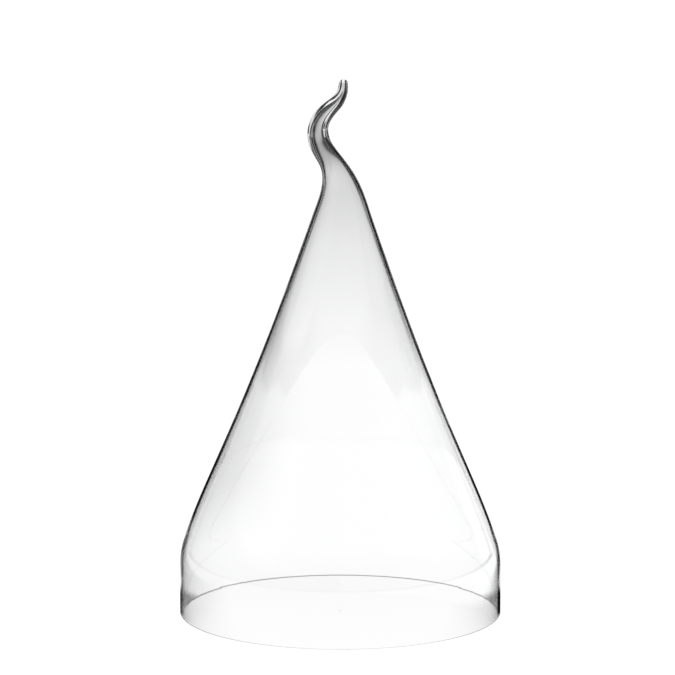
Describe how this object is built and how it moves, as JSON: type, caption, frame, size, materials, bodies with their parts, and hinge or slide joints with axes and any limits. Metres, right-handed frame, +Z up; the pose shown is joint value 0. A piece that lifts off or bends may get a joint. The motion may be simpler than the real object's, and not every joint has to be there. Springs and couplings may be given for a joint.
{
  "type": "glass cloche",
  "caption": "Bell-shaped garden cloche of clear blown glass, open at the foot, with a straight skirt, a conical body and a hollow S-curled tip.",
  "frame": {"origin": "centre of the rim, on the surface that the cloche stands on", "axes": "+Z up along the bell; the curled tip lies in the XZ plane, swings towards -X first and back to the middle at its end"},
  "size_m": [0.2, 0.2, 0.3307],
  "materials": {
    "clear_glass": "clear, fire-polished"
  },
  "bodies": {
    "root": {"glass_bell": "clear_glass"}
  },
  "joints": []
}
